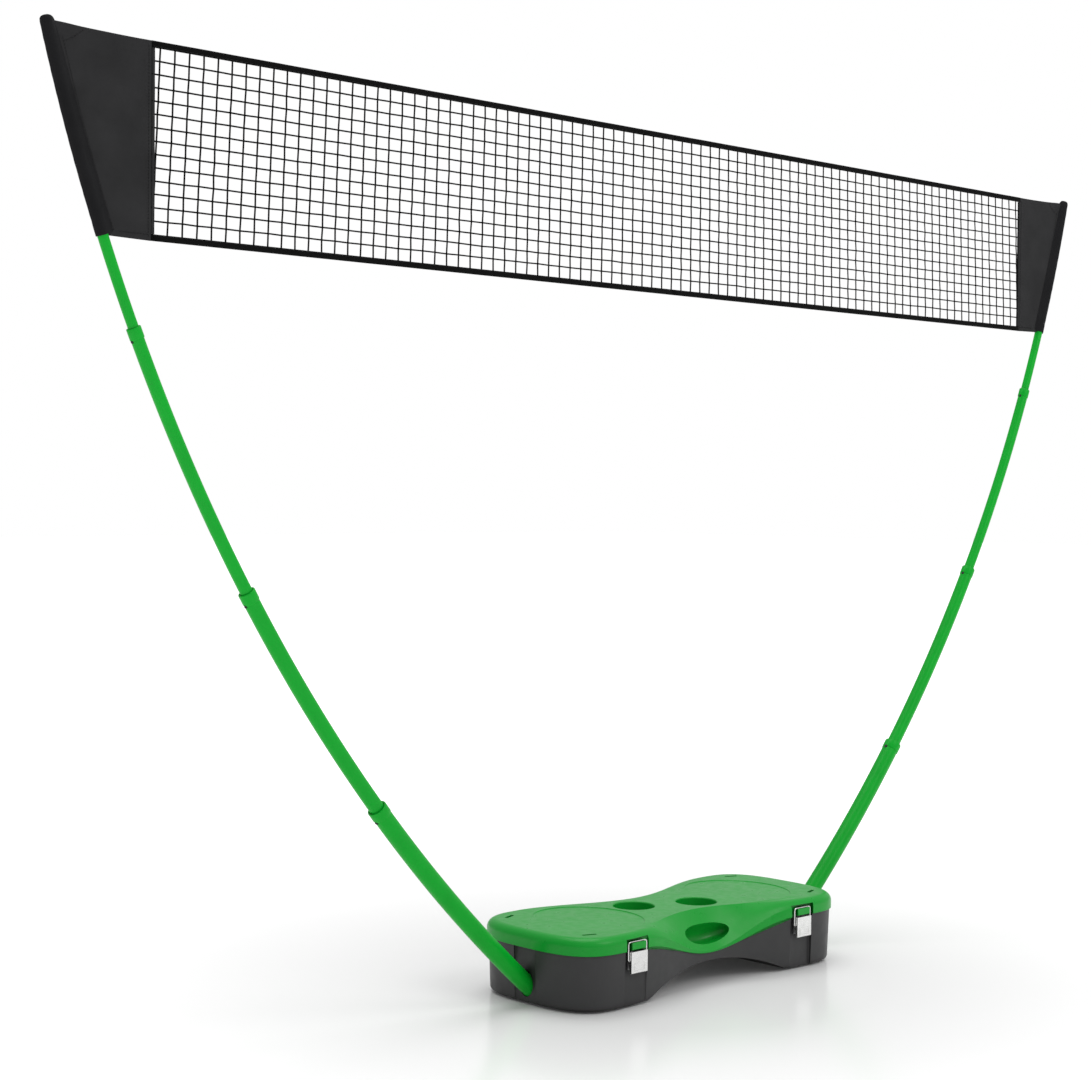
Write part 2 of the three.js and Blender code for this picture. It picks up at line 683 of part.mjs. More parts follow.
// The fabric end of the net with the tunnel that slips over the pole's last section.
function endPanel() {
  const edge = -NET.halfLength - 0.4;
  const outline = [];
  for (let i = 0; i <= 4; i++) {
    const point = new BowArc(PANEL.hem, PANEL.top + 0.5).getPoint(i / 4);
    outline.push([point.x, point.z]);
  }
  outline.push([PANEL.tipX, PANEL.tipZ - 8], [PANEL.tipX + 6, PANEL.tipZ]);
  outline.push([edge, NET.topZ], [edge, NET.bottomZ]);
  const sheet = solid(slabAlongY(outline, -PANEL.thickness / 2, PANEL.thickness / 2));
  const tunnel = bowTube(PANEL.hem, PANEL.top, PANEL.tunnel);
  return cut(join(sheet, tunnel), bowTube(PANEL.hem + 1, PANEL.top + 0.05, PANEL.bore));
}

// A folded tape along one long edge of the net, open towards the mesh.
function edgeTape(z, up) {
  const half = NET.tapeThickness / 2;
  const slot = half - NET.tapeWall;
  const rim = z + up * NET.tape;
  const base = z + up * NET.tapeWall;
  const outline = [[-half, z], [half, z], [half, rim], [slot, rim], [slot, base], [-slot, base], [-slot, rim], [-half, rim]];
  const ordered = up > 0 ? outline : outline.reverse();
  return slabAlongX(ordered, -NET.halfLength + 0.1, NET.halfLength - 0.1);
}

// The upright strings, joined by the thread that is sewn into the top tape.
function uprightStrings() {
  const half = NET.string / 2;
  const pitch = (2 * NET.halfLength) / NET.columns;
  const threadZ = NET.topZ - 3.5;
  const low = NET.bottomZ + 2;
  const outline = [[-NET.halfLength + pitch - half, threadZ + half * 4]];
  for (let i = 1; i < NET.columns; i++) {
    const x = -NET.halfLength + i * pitch;
    outline.push([x - half, threadZ], [x - half, low], [x + half, low], [x + half, threadZ]);
  }
  outline.push([NET.halfLength - pitch + half, threadZ + half * 4]);
  return slabAlongY(outline, 0.15, 0.15 + NET.string);
}

// The level strings, joined by the thread along the left edge of the mesh.
function levelStrings() {
  const half = NET.string / 2;
  const pitch = (NET.topZ - NET.bottomZ - 2 * NET.tape) / NET.rows;
  const left = -NET.halfLength + 0.6;
  const right = NET.halfLength - 0.6;
  const first = NET.bottomZ + NET.tape;
  const outline = [[left, first + pitch - half]];
  for (let i = 1; i < NET.rows; i++) {
    const z = first + i * pitch;
    outline.push([right, z - half], [right, z + half]);
    if (i + 1 < NET.rows) outline.push([left + 1.5, z + half], [left + 1.5, z + pitch - half]);
  }
  outline.push([left, first + (NET.rows - 1) * pitch + half]);
  return slabAlongY(outline, -0.15 - NET.string, -0.15);
}

// A strip sewn down one end of the mesh, where it meets the end panel.
function endBinding(side) {
  const inner = NET.halfLength - 7;
  const outer = NET.halfLength - 0.4;
  const x0 = side < 0 ? -outer : inner;
  return box(x0, x0 + outer - inner, 1.6, 2.3, NET.bottomZ + NET.tape + 0.5, NET.topZ - NET.tape - 0.5);
}

function net() {
  return group(
    mesh("net_top_tape", edgeTape(NET.topZ, -1), CORD),
    mesh("net_bottom_tape", edgeTape(NET.bottomZ, 1), CORD),
    mesh("net_upright_strings", uprightStrings(), CORD),
    mesh("net_level_strings", levelStrings(), CORD),
    mesh("net_binding_left", endBinding(-1), CORD),
    mesh("net_binding_right", endBinding(1), CORD),
  );
}

// ---------------------------------------------------------------- assembly

function carryCase() {
  const feet = [-1, 1].flatMap((sx) =>
    [-1, 1].map((sy) => foot(`foot_${sx < 0 ? "left" : "right"}_${sy < 0 ? "front" : "rear"}`, sx * FOOT.x, sy * FOOT.y)),
  );
  return group(tray(), lid(), ...feet, hingePin("left", -1), hingePin("right", 1));
}

export default group(
  carryCase(),
  latch("left", -1),
  latch("right", 1),
  pole("left", -1),
  pole("right", 1),
  net(),
);
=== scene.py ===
"""Looks of the portable badminton net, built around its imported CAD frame.

Shapes are worked out in millimetres, +Z up, and become metres where a mesh is made.
"""

import math

import bmesh
import bpy
import numpy as np
from mathutils import Matrix, Vector


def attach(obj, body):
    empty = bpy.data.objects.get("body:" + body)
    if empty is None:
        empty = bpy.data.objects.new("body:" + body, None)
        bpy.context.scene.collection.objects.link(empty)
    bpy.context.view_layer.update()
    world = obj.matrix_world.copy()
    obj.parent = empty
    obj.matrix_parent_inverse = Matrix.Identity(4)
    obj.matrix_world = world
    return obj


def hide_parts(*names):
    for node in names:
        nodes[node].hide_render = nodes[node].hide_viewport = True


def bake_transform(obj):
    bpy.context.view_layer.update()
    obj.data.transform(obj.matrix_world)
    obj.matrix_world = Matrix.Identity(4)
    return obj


MM = 0.001
SIDES = {"left": -1, "right": 1}

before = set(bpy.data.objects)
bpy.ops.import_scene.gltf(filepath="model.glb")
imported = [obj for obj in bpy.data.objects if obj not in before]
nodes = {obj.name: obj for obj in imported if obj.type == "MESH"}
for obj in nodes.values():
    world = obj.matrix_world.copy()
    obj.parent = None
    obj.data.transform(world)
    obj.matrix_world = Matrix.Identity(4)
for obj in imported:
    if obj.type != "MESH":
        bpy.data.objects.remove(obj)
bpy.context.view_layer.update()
rng = np.random.default_rng(7)

# ---------------------------------------------------------------- dimensions, as in the CAD (mm, degrees)

# Case: two rounded lobes joined by a waist.
LOBE_X, LOBE_LENGTH, HALF_WIDTH, ROUNDNESS = 252, 108, 147.5, 3.1
REAR_WAIST, FRONT_WAIST, WALL, HEIGHT = 88, 118, 3, 131
PARTING_Z, PARTING_DIP, DIP_HALF = 100.5, 41.5, 205
OVERHANG, EDGE_RADIUS, DRAFT, FLOOR_Z, BOTTOM_RADIUS = 3, 16, 3, 3, 7
SCOOP_HALF, LIP_Z, CREST_WAIST = 188, 63, 70
VAULT_RADIUS, VAULT_HEIGHT = 450, 45

# Lid details, hinge and latches.
GRIP = dict(y=-100, z=91, half_width=60, half_height=20, depth=30)
CUP = dict(x=59, y=24, radius=38.5, wall=2.5, floor=83)
BADGE = dict(x=201, half_length=94, half_width=108, depth=1.2)
SLOT = dict(x=299, y=102, length=27, width=7, turn=20)
HINGE = dict(x=245, y=151, z=102, radius=5, pin=2, play=0.25, room=5.8, lid=20, tray=12, gap=0.3)
LATCH = dict(x=223, half=29, tray_y=-137, lid_y=-139, top=122)
CATCH = dict(half=17, low=103, high=114.4, lip=115.4, y=-149)
BAIL = dict(wire=1.3, half=22.3, foot=17.6, top=116.1, y=-144.5, z=84, bend=5)
CHANNEL_X, CHANNEL_HALF = 352, 27

# Poles: angles on the left bow where a section starts and ends, then its outer and inner radius.
BOW_X, BOW_Z, BOW_R = 1600, 2304, 2992
POLE = [(49.7, 40.1, 16, 14), (41.1, 31.6, 13, 11), (32.6, 23.1, 10.25, 8.85), (24.1, 14.6, 8.25, 6.85)]
COLLAR = 0.35
BUTTON_ANGLE = 0.37

# The hole for a pole in the tray: the gap round the tube and the bow angle it starts at.
HOLE_GAP, HOLE_START = 1.4, 47

# Net, its tapes and its end panels.
NET_HALF, NET_TOP, NET_BOTTOM, TAPE = 1122.7, 1554, 1259.3, 10
COLUMNS, ROWS, STRING = 88, 14, 1.35
END_GAP, LEAN = 9, 13
HEM, PANEL_TOP, TIP_X, TIP_Z = 20.4, 14.4, -1309, 1564
TUNNEL, TUNNEL_BORE, BINDING = 10.2, 9.0, 5

# ---------------------------------------------------------------- materials


def node(tree, kind, **settings):
    """A shader node; settings name its sockets or its properties."""
    made = tree.nodes.new(kind)
    for key, value in settings.items():
        if key in made.inputs:
            made.inputs[key].default_value = value
        else:
            setattr(made, key, value)
    return made


def base_material(name, color, rough, metallic=0.0, **sockets):
    """A principled material and the pieces its detail is wired to."""
    made = bpy.data.materials.new(name)
    made.use_nodes = True
    tree = made.node_tree
    shader = tree.nodes["Principled BSDF"]
    shader.inputs["Base Color"].default_value = (*color, 1)
    shader.inputs["Roughness"].default_value = rough
    shader.inputs["Metallic"].default_value = metallic
    for key, value in sockets.items():
        shader.inputs[key.replace("_", " ")].default_value = value
    place = tree.nodes.new("ShaderNodeTexCoord").outputs["Object"]
    return made, tree, shader, place


def tint(tree, shader, factor, dark, light):
    """Base colour between two tones."""
    mix = node(tree, "ShaderNodeMix", data_type="RGBA")
    mix.inputs[6].default_value = (*dark, 1)
    mix.inputs[7].default_value = (*light, 1)
    tree.links.new(factor, mix.inputs[0])
    tree.links.new(mix.outputs[2], shader.inputs["Base Color"])


def noise(tree, place, scale, detail=3.0):
    made = node(tree, "ShaderNodeTexNoise", Scale=scale, Detail=detail)
    tree.links.new(place, made.inputs["Vector"])
    return made.outputs[0]


def remap(tree, value, low, high, start=0.3, end=0.7):
    """Takes start..end, the usual spread of noise, to low..high."""
    made = node(tree, "ShaderNodeMapRange")
    for key, number in (("From Min", start), ("From Max", end), ("To Min", low), ("To Max", high)):
        made.inputs[key].default_value = number
    tree.links.new(value, made.inputs["Value"])
    return made.outputs["Result"]


def paint_crevice_shade(tree, shader, reach, darkest):
    """Painted shade: the base colour darkened in corners and narrow gaps, where ambient occlusion finds
    little open air.
    """
    tone = shader.inputs["Base Color"].links[0].from_socket
    open_air = node(tree, "ShaderNodeAmbientOcclusion", samples=8)
    open_air.inputs["Distance"].default_value = reach
    depth = remap(tree, open_air.outputs["AO"], darkest, 1, 0.35, 0.85)
    mix = node(tree, "ShaderNodeMix", data_type="RGBA", blend_type="MULTIPLY")
    mix.inputs[0].default_value = 1
    tree.links.new(tone, mix.inputs[6])
    tree.links.new(depth, mix.inputs[7])
    tree.links.new(mix.outputs[2], shader.inputs["Base Color"])


def add_bump(tree, shader, height, strength, distance):
    bump = node(tree, "ShaderNodeBump", Strength=strength, Distance=distance)
    tree.links.new(height, bump.inputs["Height"])
    tree.links.new(bump.outputs["Normal"], shader.inputs["Normal"])


def shade(color, factor):
    return tuple(c * factor for c in color)


def moulded_plastic(name, color, rough, grain=900, relief=0.03, **sockets):
    """Injection-moulded plastic: fine grain, slow tone drift, faint handling scuffs and painted shade in
    corners and gaps.
    """
    made, tree, shader, place = base_material(name, color, rough, **sockets)
    drift = remap(tree, noise(tree, place, 7, 2), 0, 1)
    tint(tree, shader, drift, shade(color, 0.97), shade(color, 1.03))
    # Painted shade in corners, recesses and the gaps between parts.
    paint_crevice_shade(tree, shader, 0.02, 0.2)
    scuffs = remap(tree, noise(tree, place, 60, 6), rough - 0.05, rough + 0.07)
    tree.links.new(scuffs, shader.inputs["Roughness"])
    add_bump(tree, shader, noise(tree, place, grain, 2), relief, 0.0002)
    return made


def painted_metal(name, color, rough):
    """Gloss paint on tube, with a slight orange-peel surface."""
    sheen = dict(Specular_IOR_Level=0.14, Coat_Weight=0.04, Coat_Roughness=0.15)
    made, tree, shader, place = base_material(name, color, rough, **sheen)
    drift = remap(tree, noise(tree, place, 14, 2), 0, 1)
    tint(tree, shader, drift, shade(color, 0.95), shade(color, 1.05))
    worn = remap(tree, noise(tree, place, 90, 5), rough - 0.05, rough + 0.06)
    tree.links.new(worn, shader.inputs["Roughness"])
    add_bump(tree, shader, noise(tree, place, 420, 1), 0.08, 0.0002)
    return made


def plated_metal(name, color, rough, scratch=0.12):
    """Pressed and plated steel with fine drawn lines."""
    made, tree, shader, place = base_material(name, color, rough, metallic=1.0)
    stretch = node(tree, "ShaderNodeMapping")
    stretch.inputs["Scale"].default_value = (40, 40, 1400)
    tree.links.new(place, stretch.inputs["Vector"])
    lines = noise(tree, stretch.outputs[0], 1.0, 4)
    tree.links.new(remap(tree, lines, rough - 0.07, rough + 0.1), shader.inputs["Roughness"])
    tint(tree, shader, remap(tree, noise(tree, place, 110, 3), 0, 1), shade(color, 0.9), color)
    add_bump(tree, shader, lines, scratch, 0.0001)
    return made


def woven(name, color, pitch, rough=0.9, relief=0.5):
    """Plain weave in the plane of the net, from two crossed sets of yarns."""
    made, tree, shader, place = base_material(name, color, rough, Specular_IOR_Level=0.12)
    yarns = []
    for axis in ("X", "Z"):
        wave = node(tree, "ShaderNodeTexWave", wave_type="BANDS", bands_direction=axis)
        wave.inputs["Scale"].default_value = 0.314 / pitch
        wave.inputs["Distortion"].default_value = 0.6
        wave.inputs["Detail"].default_value = 1.0
        tree.links.new(place, wave.inputs["Vector"])
        yarns.append(wave.outputs["Fac"])
    crossed = node(tree, "ShaderNodeMath", operation="ADD")
    tree.links.new(yarns[0], crossed.inputs[0])
    tree.links.new(yarns[1], crossed.inputs[1])
    patchy = remap(tree, noise(tree, place, 18, 4), 0, 1)
    tint(tree, shader, patchy, shade(color, 0.85), shade(color, 1.15))
    add_bump(tree, shader, crossed.outputs[0], relief, pitch * 0.25)
    return made


LID = moulded_plastic("lid_green", (0.002, 0.32, 0.026), 0.32, Specular_IOR_Level=0.27)
TRAY = moulded_plastic("tray_grey", (0.038, 0.038, 0.039), 0.42, 800, 0.06, Specular_IOR_Level=0.3)
BLACK = moulded_plastic("socket_black", (0.022, 0.022, 0.023), 0.5)
RUBBER = moulded_plastic("rubber", (0.02, 0.02, 0.02), 0.8, grain=900, relief=0.3)
PAINT = painted_metal("pole_green", (0.001, 0.36, 0.022), 0.4)
NICKEL = plated_metal("nickel", (0.83, 0.83, 0.82), 0.24)
STEEL = plated_metal("steel", (0.58, 0.58, 0.59), 0.36)
PANEL = woven("panel_fabric", (0.024, 0.024, 0.025), 0.0007)
# The panel's cloth, painted darker to stand in for the shade inside the curved tunnel.
SHADED_TUNNEL_FABRIC = woven("tunnel_fabric_painted_shade", (0.011, 0.011, 0.012), 0.0007)
WEBBING = woven("tape", (0.002, 0.002, 0.002), 0.0011, relief=0.7)
TWINE = woven("string", (0.002, 0.002, 0.002), 0.0006, relief=0.7)
THREAD = woven("thread", (0.02, 0.02, 0.021), 0.0004)

NODE_MATERIALS = {
    "foot_": RUBBER,
    "hinge_pin_": STEEL,
    "latch_plate_": STEEL,
    "latch_lever_": NICKEL,
    "latch_pin_": STEEL,
    "latch_rivet_": STEEL,
    "snap_button_": RUBBER,
    "button_spring_": STEEL,
    "pole_tip_cap_": BLACK,
    "pole_foot_plug_": BLACK,
    "pole_socket_": BLACK,
}

# ---------------------------------------------------------------- mesh helpers


def make(name, verts, faces, material, smooth=True):
    """A mesh object from points in millimetres."""
    mesh = bpy.data.meshes.new(name)
    mesh.from_pydata([tuple(c * MM for c in v) for v in verts], [], faces)
    mesh.materials.append(material)
    tidy = bmesh.new()
    tidy.from_mesh(mesh)
    bmesh.ops.recalc_face_normals(tidy, faces=tidy.faces)
    tidy.to_mesh(mesh)
    tidy.free()
    mesh.polygons.foreach_set("use_smooth", [smooth] * len(mesh.polygons))
    made = bpy.data.objects.new(name, mesh)
    bpy.context.collection.objects.link(made)
    return made


def loft(rings, closed=False):
    """Points and faces through rings of equal count; closed joins the last ring to the first."""
    count = len(rings[0])
    verts = [p for ring in rings for p in ring]
    faces = []
    last = len(rings) if closed else len(rings) - 1
    for level in range(last):
        a, b = level * count, ((level + 1) % len(rings)) * count
        for i in range(count):
            j = (i + 1) % count
            faces.append((a + i, a + j, b + j, b + i))
    if not closed:
        faces.append(tuple(range(count - 1, -1, -1)))
        faces.append(tuple(range((len(rings) - 1) * count, len(rings) * count)))
    return verts, faces


def turns(steps):
    return [2 * math.pi * i / steps for i in range(steps)]


def lathe(profile, steps=48):
    """Rings round Z through (radius, z) pairs."""
    return loft([[(r * math.cos(a), r * math.sin(a), z) for a in turns(steps)] for r, z in profile])


def prism(outline, axis, low, high):
    """An outline extruded along x, y or z."""
    def at(p, d):
        return {"x": (d, p[0], p[1]), "y": (p[0], d, p[1]), "z": (p[0], p[1], d)}[axis]
    return loft([[at(p, low) for p in outline], [at(p, high) for p in outline]])


def rounded(x0, x1, y0, y1, radius, steps=6):
    """A rectangle with round corners, anticlockwise."""
    points = []
    corners = ((x1 - radius, y1 - radius, 0), (x0 + radius, y1 - radius, 1),
               (x0 + radius, y0 + radius, 2), (x1 - radius, y0 + radius, 3))
    for cx, cy, quarter in corners:
        for i in range(steps + 1):
            a = math.pi / 2 * (quarter + i / steps)
            points.append((cx + radius * math.cos(a), cy + radius * math.sin(a)))
    return points


def moved(shape, dx=0, dy=0, dz=0):
    verts, faces = shape
    return [(x + dx, y + dy, z + dz) for x, y, z in verts], faces


def turned(shape, matrix):
    verts, faces = shape
    return [tuple(matrix @ Vector(v)) for v in verts], faces


def merged(shapes):
    verts, faces = [], []
    for v, f in shapes:
        faces += [tuple(i + len(verts) for i in face) for face in f]
        verts += v
    return verts, faces


def combine(body, others, operation):
    """Joins, cuts or intersects a closed mesh object with others, which are used up."""
    for other in others:
        change = body.modifiers.new("combine", "BOOLEAN")
        change.object = other
        change.operation = operation
        change.solver = "MANIFOLD"
    apply_modifiers(body)
    for other in others:
        bpy.data.meshes.remove(other.data)


def carve(body, shapes, operation):
    """Joins, cuts or intersects a closed mesh object with shapes given as points and faces."""
    tools = [make("tool", *shape, body.data.materials[0]) for shape in shapes]
    combine(body, tools, operation)


def apply_modifiers(body):
    bpy.context.view_layer.update()
    evaluated = body.evaluated_get(bpy.context.evaluated_depsgraph_get())
    mesh = bpy.data.meshes.new_from_object(evaluated)
    body.modifiers.clear()
    body.data = mesh


def crease(body, angle=32):
    """Smooth shading that breaks where faces meet at more than the given angle."""
    mesh = body.data
    mesh.polygons.foreach_set("use_smooth", [True] * len(mesh.polygons))
    mesh.set_sharp_from_angle(angle=math.radians(angle))
    return body


# ---------------------------------------------------------------- case outline


def middle_share(x, half):
    """1 in the middle, falling smoothly to 0 at half."""
    return 0.5 + 0.5 * math.cos(math.pi * x / half) if abs(x) < half else 0.0


def lerp(a, b, t):
    return a + (b - a) * t


def outline_half(inset, waist, end_steps=22, waist_steps=36):
    """Half the case outline as (x, half width), from the +X end to the -X end."""
    length, width = LOBE_LENGTH - inset, HALF_WIDTH - inset
    points = []
    for i in range(end_steps + 1):
        a = i / end_steps * math.pi / 2
        x = LOBE_X + length * math.cos(a) ** (2 / ROUNDNESS)
        points.append((x, width * math.sin(a) ** (2 / ROUNDNESS)))
    for i in range(1, waist_steps):
        x = LOBE_X * (1 - i / waist_steps)
        points.append((x, lerp(width, waist, middle_share(x, LOBE_X))))
    return points + [(0, waist)] + [(-x, y) for x, y in reversed(points)]


def case_ring(inset, rear, front, height):
    """The case outline as a ring; height takes x and whether the point is on the front."""
    back = [(x, y, height(x, False)) for x, y in outline_half(inset, rear)]
    face = [(x, -y, height(x, True)) for x, y in outline_half(inset, front)]
    return back + face[::-1][1:-1]


def parting(x, on_front):
    """Height of the line between tray and lid, which dips below the hand hold."""
    return PARTING_Z - (PARTING_DIP * middle_share(x, DIP_HALF) if on_front else 0)


def flat_ring(inset, z):
    return case_ring(inset, REAR_WAIST - inset, FRONT_WAIST - inset, lambda x, f: z)


# ---------------------------------------------------------------- tray


def tray_outside():
    """Rounded bottom edge, drafted wall and softened rim."""
    base, foot = OVERHANG, OVERHANG + DRAFT
    rings = []
    for i in range(7):
        a = i / 6 * math.pi / 2
        inset = foot + BOTTOM_RADIUS * (1 - math.sin(a))
        rings.append(flat_ring(inset, FLOOR_Z + BOTTOM_RADIUS * (1 - math.cos(a))))
    for i in range(1, 9):
        t = i / 8
        low = FLOOR_Z + BOTTOM_RADIUS
        inset = lerp(foot, base, t)
        rings.append(case_ring(inset, REAR_WAIST - inset, FRONT_WAIST - inset,
                               lambda x, f: lerp(low, parting(x, f) - (0.5 if t == 1 else 0.9), t)))
    top = base + 0.6
    rings.append(case_ring(top, REAR_WAIST - top, FRONT_WAIST - top, parting))
    return loft(rings)


def tray_inside():
    """The room in the tray before the recesses take their part of it."""
    base, foot = OVERHANG + WALL, OVERHANG + DRAFT + WALL
    floor = FLOOR_Z + WALL
    levels = [(foot + 6, floor), (foot + 2, floor + 2), (foot, floor + 7), (base, PARTING_Z), (base, 130)]
    return loft([flat_ring(inset, z) for inset, z in levels])


def vault(extra):
    """The arch under the case, or with extra, what a wall over it takes up."""
    radius, centre = VAULT_RADIUS + extra, VAULT_HEIGHT - VAULT_RADIUS
    half = math.acos(-centre / radius)
    sweep = [math.pi / 2 - half + 2 * half * i / 40 for i in range(41)]
    arch = [(radius * math.cos(a), centre + radius * math.sin(a)) for a in sweep]
    return prism([(arch[0][0], -20)] + arch + [(arch[-1][0], -20)], "y", -300, 300)


def latch_recess(side, grow, floor_y, low, high):
    """The notch in the front that a latch sits in, or with grow, the wall round it."""
    x, half = side * LATCH["x"], LATCH["half"] + grow
    return prism(rounded(x - half, x + half, -220, floor_y + grow, 2.5 + 0.3 * grow), "z", low, high)


def end_channel(side, grow):
    """The upright channel in each end that the pole comes out of."""
    x, half = CHANNEL_X - grow, CHANNEL_HALF + grow
    x0, x1 = sorted((side * x, side * 460))
    return prism(rounded(x0, x1, -half, half, 3), "z", -6, 145)


def arc_point(angle):
    """A point on the left bow."""
    a = math.radians(angle)
    return Vector((BOW_X - BOW_R * math.cos(a), 0, BOW_Z - BOW_R * math.sin(a)))


def bow_ring(angle, radius, side, sides=40):
    """A circle round the pole's axis at a bow angle."""
    a = math.radians(angle)
    centre, out = arc_point(angle), Vector((math.cos(a), 0, math.sin(a)))
    points = []
    for i in range(sides):
        t = 2 * math.pi * i / sides
        p = centre + radius * (math.cos(t) * out + math.sin(t) * Vector((0, 1, 0)))
        points.append((-side * p.x, p.y, p.z))
    return points


def pole_rod(side, start, end, radius, steps=8):
    return loft([bow_ring(lerp(start, end, i / steps), radius, side) for i in range(steps + 1)])


def rod_x(radius, x0, x1, y, z, steps=32):
    circle = [(y + radius * math.cos(a), z + radius * math.sin(a)) for a in turns(steps)]
    return loft([[(x, *p) for p in circle] for x in (x0, x1)])


def knuckle(x0, x1, z0, z1):
    """A hinge barrel and the web that joins it to the rear wall."""
    web = prism(rounded(x0, x1, HALF_WIDTH - 8, HINGE["y"], 0.6, 2), "z", z0, z1)
    return [rod_x(HINGE["radius"], x0, x1, HINGE["y"], HINGE["z"]), web]


def hinge_cut(side, radius, half):
    """A rod along the hinge line that clears half to each side of its middle."""
    return rod_x(radius, side * HINGE["x"] - half, side * HINGE["x"] + half, HINGE["y"], HINGE["z"])


def pin_bore(side):
    return hinge_cut(side, HINGE["pin"] + HINGE["play"], 40)


def tray():
    body = make("tray_shell", *tray_outside(), TRAY)
    room = make("tray_room", *tray_inside(), TRAY)
    walls = [vault(WALL)]
    for side in SIDES.values():
        walls += [latch_recess(side, WALL, LATCH["tray_y"], -5, 140), end_channel(side, WALL)]
    carve(room, walls, "DIFFERENCE")
    cuts = [vault(0)]
    knuckles = []
    for side in SIDES.values():
        half = HINGE["lid"] / 2 + HINGE["gap"]
        cuts += [latch_recess(side, 0, LATCH["tray_y"], -5, 140), end_channel(side, 0)]
        cuts += [pole_rod(side, HOLE_START, POLE[0][0], POLE[0][2] + HOLE_GAP)]
        cuts += [hinge_cut(side, HINGE["room"], half)]
        for x0, x1 in ((-half - HINGE["tray"], -half), (half, half + HINGE["tray"])):
            x = side * HINGE["x"]
            knuckles += knuckle(x + x0, x + x1, HINGE["z"] - 12, PARTING_Z)
    combine(body, [room], "DIFFERENCE")
    carve(body, cuts, "DIFFERENCE")
    carve(body, knuckles, "UNION")
    carve(body, [pin_bore(side) for side in SIDES.values()], "DIFFERENCE")
    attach(crease(body), "base")
    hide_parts("tray")


# ---------------------------------------------------------------- lid


def lid_ring(level, offset):
    """A ring of the lid from its wall (level 0) over the round edge to the top (level 1)."""
    a = level * math.pi / 2
    radius = EDGE_RADIUS - offset
    inset = offset + radius * (1 - math.cos(a))
    edge = HEIGHT - EDGE_RADIUS + radius * math.sin(a)
    scoop = lerp(LIP_Z - 0.65 * offset, HEIGHT - offset, level)
    front = lerp(FRONT_WAIST - 0.77 * offset, CREST_WAIST - 0.5 * offset, level)
    return case_ring(inset, REAR_WAIST - inset, front,
                     lambda x, f: lerp(edge, scoop, middle_share(x, SCOOP_HALF) if f else 0))


def lid_outside():
    """A thin rim, the wall, the round edge and the top with its scoop at the front."""
    def rim(inset, lift):
        return case_ring(inset, REAR_WAIST - inset, FRONT_WAIST - inset,
                         lambda x, on_front: parting(x, on_front) + lift)
    rings = [rim(0.7, 0.4), rim(0.1, 0.8), rim(-0.1, 1.6), rim(0, 2.4)]
    return loft(rings + [lid_ring(i / 14, 0) for i in range(15)])


def lid_inside():
    """The room in the lid, one wall further in."""
    skirt = case_ring(WALL, REAR_WAIST - WALL, FRONT_WAIST - 0.77 * WALL, lambda x, f: 20)
    return loft([skirt] + [lid_ring(i / 8, WALL) for i in range(9)])


def grip_bowl(extra):
    """The hand hold: a squashed ball that leans with the lid's front."""
    arc = np.linspace(0.001, math.pi - 0.001, 33)
    ball = lathe([(max(math.sin(a), 1e-4), -math.cos(a)) for a in arc], 64)
    tilt = math.atan2(FRONT_WAIST - CREST_WAIST, HEIGHT - LIP_Z) + math.pi / 8
    size = Matrix.Diagonal([GRIP[key] + extra for key in ("half_width", "half_height", "depth")])
    return moved(turned(ball, Matrix.Rotation(tilt, 3, "X") @ size), 0, GRIP["y"], GRIP["z"])


def cup_cut(side):
    """A round well with a soft lip and a rounded floor corner."""
    r, floor, lip = CUP["radius"], CUP["floor"], 2.5
    profile = [(r - 4, floor), (r - 1.2, floor + 1.2), (r, floor + 4), (r, HEIGHT - lip)]
    rim = np.linspace(0.2, 1.45, 6)
    profile += [(r + lip * (1 - math.cos(a)), HEIGHT - lip + lip * math.sin(a)) for a in rim]
    profile.append((r + 2.6, HEIGHT + 20))
    return moved(lathe(profile, 72), side * CUP["x"], -side * CUP["y"])


def badge_cut(side):
    """A shallow oval field whose edge slopes."""
    rings = []
    for grow, z in ((-1.2, HEIGHT - BADGE["depth"]), (0, HEIGHT), (0.6, HEIGHT + 4)):
        a, b = BADGE["half_length"] + grow, BADGE["half_width"] + grow
        rings.append([(side * BADGE["x"] + a * math.cos(t), b * math.sin(t), z)
                      for t in turns(96)])
    return loft(rings)


def slot_cut(sx, sy):
    """One of the four small slots in the lid, at the corner given by two signs."""
    outline = rounded(-SLOT["length"] / 2, SLOT["length"] / 2, -SLOT["width"] / 2, SLOT["width"] / 2, 2)
    turn = Matrix.Rotation(math.radians(-sx * sy * SLOT["turn"]), 3, "Z")
    return moved(turned(prism(outline, "z", 110, 150), turn), sx * SLOT["x"], sy * SLOT["y"])


def catch_block(side):
    """The block under the bail, with a small lip that the wire hooks behind."""
    back, front, high, lip = LATCH["lid_y"] + 0.5, CATCH["y"], CATCH["high"], CATCH["lip"]
    outline = [(back, CATCH["low"]), (front + 0.6, CATCH["low"]), (front, CATCH["low"] + 0.6),
               (front, lip - 0.5), (front + 0.4, lip), (front + 1.2, lip), (front + 1.6, lip - 0.5),
               (front + 1.6, high), (back, high)]
    return prism(outline, "x", side * LATCH["x"] - CATCH["half"], side * LATCH["x"] + CATCH["half"])


